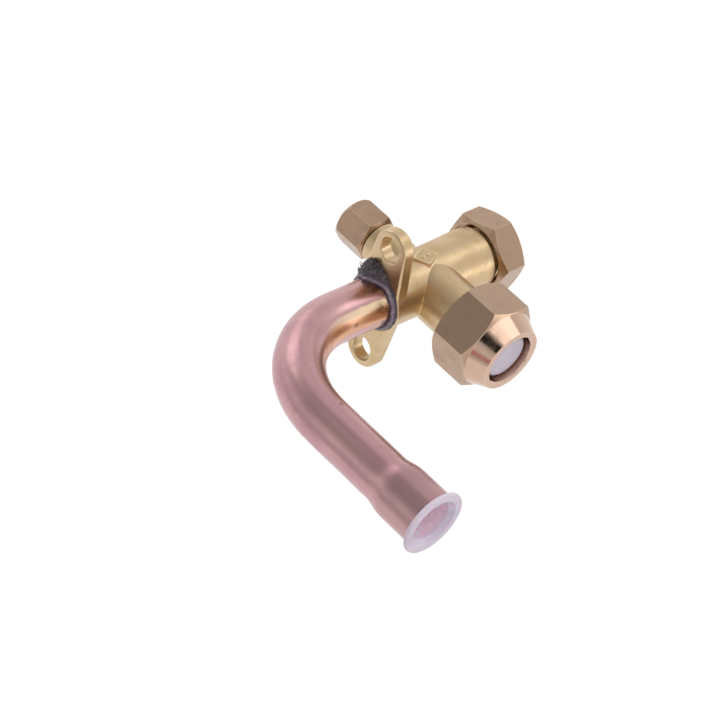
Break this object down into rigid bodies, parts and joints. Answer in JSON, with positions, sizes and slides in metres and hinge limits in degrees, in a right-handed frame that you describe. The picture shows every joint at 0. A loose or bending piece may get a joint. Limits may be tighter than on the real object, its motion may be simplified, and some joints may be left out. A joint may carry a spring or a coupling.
{
  "type": "refrigerant service valve",
  "caption": "Angle-flow refrigerant service valve with a flanged brass cross, a capped stem, a flare nut, a capped charging port and a bent copper stub.",
  "frame": {"origin": "centre of the flange's mounting face, on the stem axis", "axes": "+X along the stem axis towards the stem cap, -Y along the flare nut, +Y along the charging port, +Z along the flange's long axis"},
  "size_m": [0.1115, 0.1119, 0.0526],
  "materials": {
    "forged_brass": "satin forged brass with a soft skin and bright creases",
    "machined_brass": "machined brass flats, pinkish where the light is warm",
    "turned_brass": "turned brass",
    "copper": null,
    "soft_copper": null,
    "braze_alloy": null,
    "burnt_flux": null,
    "pale_plastic": "milky translucent polyethylene",
    "white_seal": "white fluoropolymer seal",
    "black_rubber": "black nitrile rubber",
    "spring_steel": "spring steel"
  },
  "bodies": {
    "root": {"valve_body": "forged_brass", "copper_tube": "copper", "braze_ring": "braze_alloy", "flux_crust": "burnt_flux", "stem_circlip": "spring_steel", "core_head": "turned_brass", "core_barrel": "turned_brass", "core_barrel_seal": "white_seal", "core_spring": "spring_steel"},
    "stem_seal": {"stem_o_ring": "black_rubber"},
    "stem": {"stem": "turned_brass"},
    "stem_cap_seal": {"stem_cap_gasket": "soft_copper"},
    "stem_cap": {"stem_cap": "machined_brass"},
    "flare_plug": {"flare_plug": "pale_plastic"},
    "flare_nut": {"flare_nut": "machined_brass"},
    "service_cap_seal": {"service_cap_gasket": "white_seal"},
    "service_cap": {"service_cap": "machined_brass"},
    "tube_plug": {"tube_plug": "pale_plastic"},
    "core_pin": {"core_pin": "turned_brass", "core_cup": "turned_brass", "core_washer": "black_rubber"}
  },
  "joints": [
    {"name": "stem_travel", "type": "slide", "parent": "root", "child": "stem_seal", "axis": [1, 0, 0], "range_m": [0, 0.008]},
    {"name": "stem_turn", "type": "hinge", "parent": "stem_seal", "child": "stem", "pos_m": [0.035, 0, 0], "axis": [1, 0, 0], "range_deg": [0, 2881]},
    {"name": "stem_cap_travel", "type": "slide", "parent": "root", "child": "stem_cap_seal", "axis": [1, 0, 0], "range_m": [0, 0.009]},
    {"name": "stem_cap_turn", "type": "hinge", "parent": "stem_cap_seal", "child": "stem_cap", "pos_m": [0.045, 0, 0], "axis": [1, 0, 0], "range_deg": [0, 2041.94]},
    {"name": "flare_nut_travel", "type": "slide", "parent": "root", "child": "flare_plug", "axis": [0, -1, 0], "range_m": [0, 0.014]},
    {"name": "flare_nut_turn", "type": "hinge", "parent": "flare_plug", "child": "flare_nut", "pos_m": [0.0193, -0.03, 0], "axis": [0, -1, 0], "range_deg": [0, 2778.95]},
    {"name": "service_cap_travel", "type": "slide", "parent": "root", "child": "service_cap_seal", "axis": [0, 1, 0], "range_m": [0, 0.0105]},
    {"name": "service_cap_turn", "type": "hinge", "parent": "service_cap_seal", "child": "service_cap", "pos_m": [0.0193, 0.025, 0], "axis": [0, 1, 0], "range_deg": [0, 2977.38]},
    {"name": "tube_plug_pull", "type": "slide", "parent": "root", "child": "tube_plug", "axis": [0, -1, 0], "range_m": [0, 0.013]},
    {"name": "core_pin_press", "type": "slide", "parent": "root", "child": "core_pin", "axis": [0, -1, 0], "range_m": [0, 0.0015], "stiffness_N_per_m": 1200, "springref_m": -0.001, "deforming": ["core_spring"]}
  ],
  "couplings": [
    {"joint": "stem_turn", "follows": "stem_travel", "rad_per_m": 6283.2},
    {"joint": "stem_cap_turn", "follows": "stem_cap_travel", "rad_per_m": 3957.9},
    {"joint": "flare_nut_turn", "follows": "flare_nut_travel", "rad_per_m": 3463.2},
    {"joint": "service_cap_turn", "follows": "service_cap_travel", "rad_per_m": 4947.4}
  ]
}
